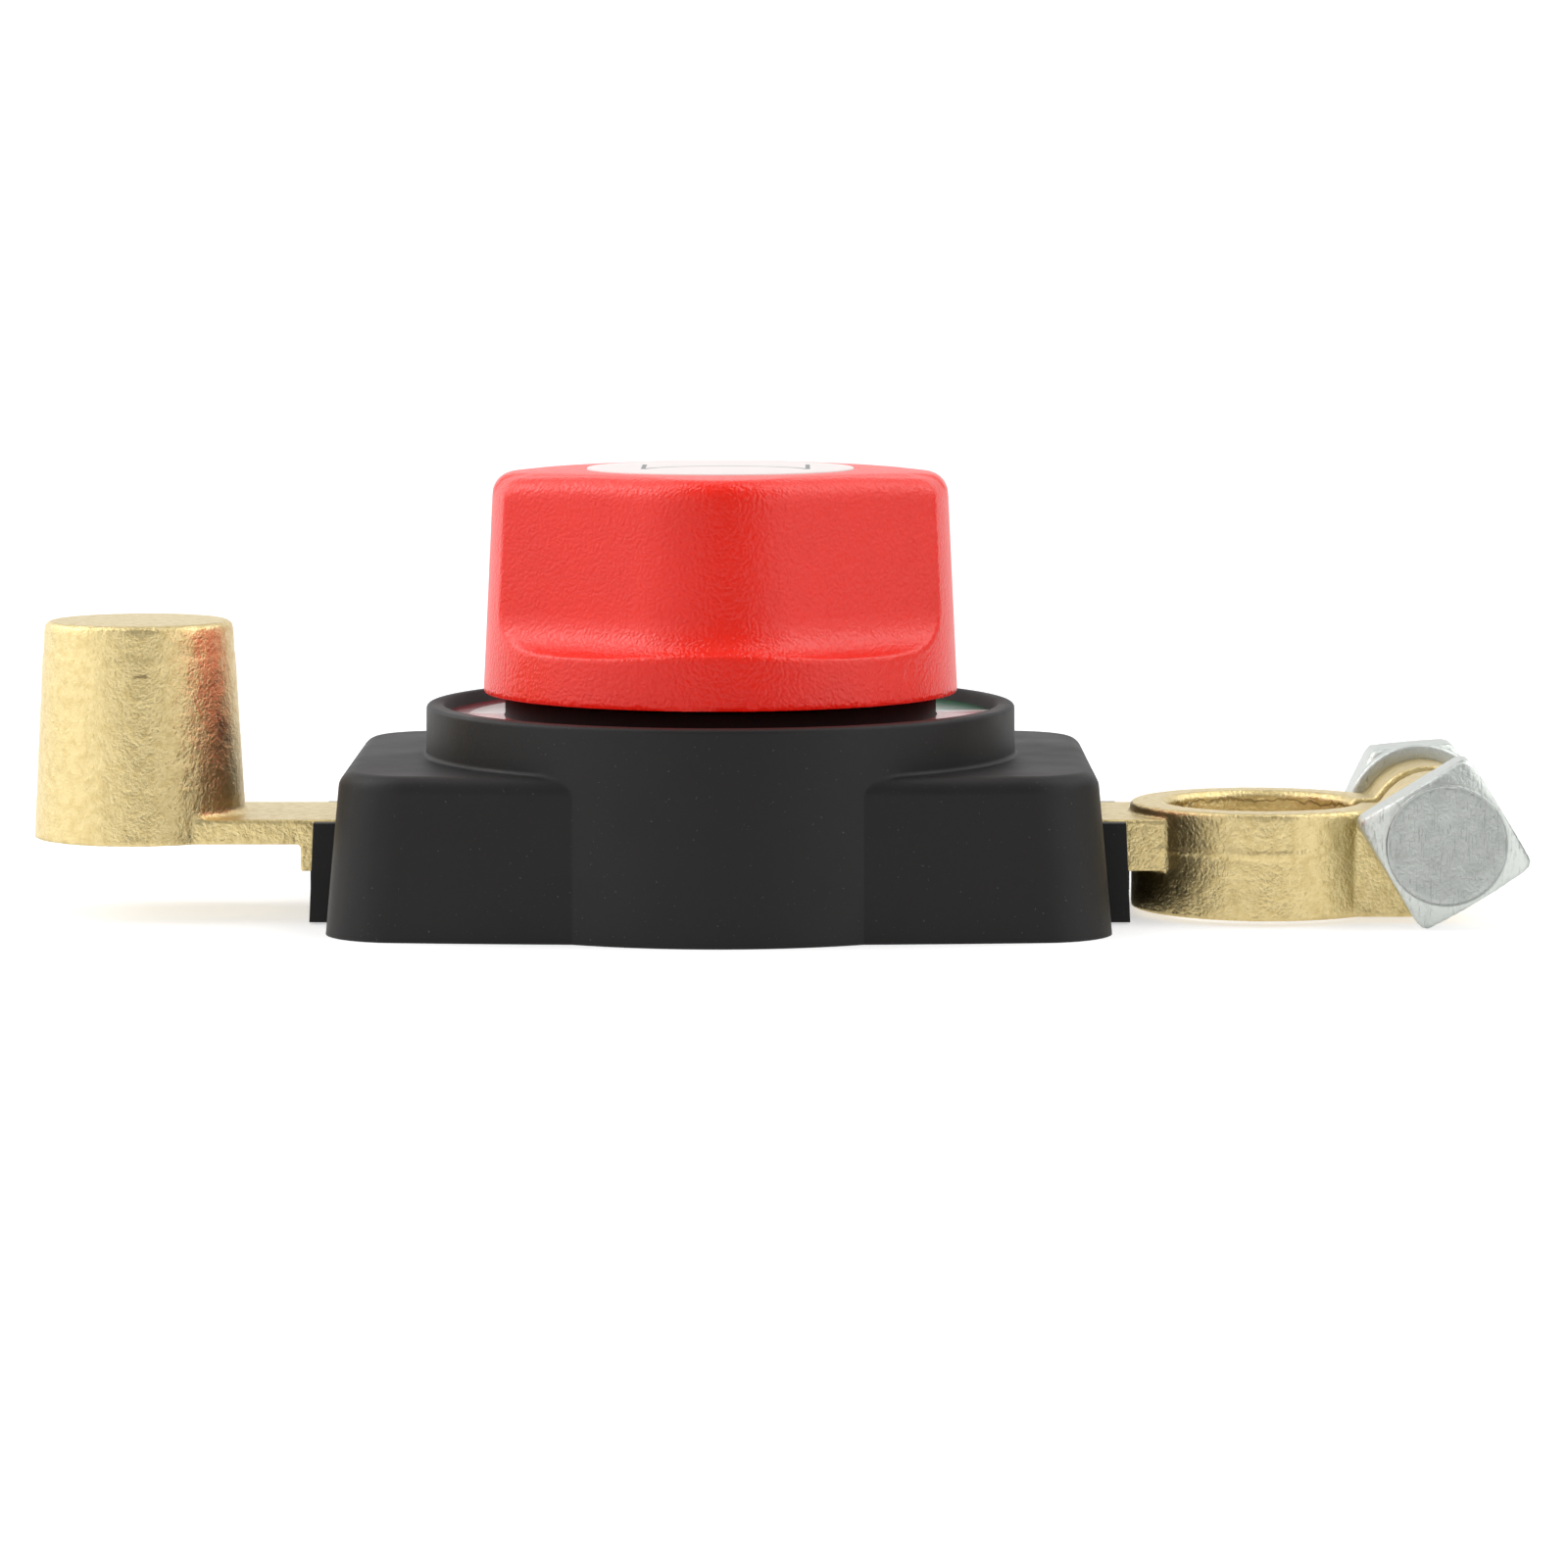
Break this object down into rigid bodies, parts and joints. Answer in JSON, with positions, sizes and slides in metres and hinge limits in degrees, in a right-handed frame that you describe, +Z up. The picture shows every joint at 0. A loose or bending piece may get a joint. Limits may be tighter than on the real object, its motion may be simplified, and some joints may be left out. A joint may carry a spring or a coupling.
{
  "type": "battery disconnect switch",
  "caption": "Top-post battery disconnect switch: tapered cable post, black moulded housing with a red turning knob, and a split ring clamp for the battery post.",
  "frame": {"origin": "where the spindle axis meets the flat underside of the housing", "axes": "+X towards the battery clamp, -X towards the cable post, +Z up along the spindle"},
  "size_m": [0.138, 0.0552, 0.0415],
  "materials": {
    "black_plastic": "fine matte moulded nylon",
    "red_plastic": "grained moulded plastic",
    "label_white": "printed vinyl",
    "dial_print": "printed polyester in red, white and green fields",
    "brass": "forged and tumbled",
    "copper": "stamped",
    "silver_contact": "silver faced",
    "zinc_steel": "zinc plated",
    "spring_steel": "hardened and oiled",
    "seal_rubber": "moulded",
    "natural_nylon": "moulded"
  },
  "bodies": {
    "housing": {"housing_cover": "black_plastic", "base_plate": "black_plastic", "base_screws": "zinc_steel", "terminal_screws": "zinc_steel", "dial_label": "dial_print", "post_terminal": "brass", "clamp_terminal": "brass", "clamp_bolt": "zinc_steel", "clamp_washer": "zinc_steel", "clamp_nut": "zinc_steel", "post_contact": "silver_contact", "clamp_contact": "silver_contact", "thrust_washer": "natural_nylon"},
    "rotor": {"knob": "red_plastic", "knob_label": "label_white", "knob_screw": "zinc_steel", "knob_screw_washer": "zinc_steel", "spindle": "spring_steel", "spindle_seal": "seal_rubber", "contact_carrier": "black_plastic", "contact_bridge": "copper", "bridge_tips": "silver_contact", "contact_springs": "spring_steel", "retaining_clip": "spring_steel"}
  },
  "joints": [
    {"name": "knob_turn", "type": "hinge", "parent": "housing", "child": "rotor", "pos_m": [0, 0, 0], "axis": [0, 0, 1], "range_deg": [0, 90]}
  ]
}
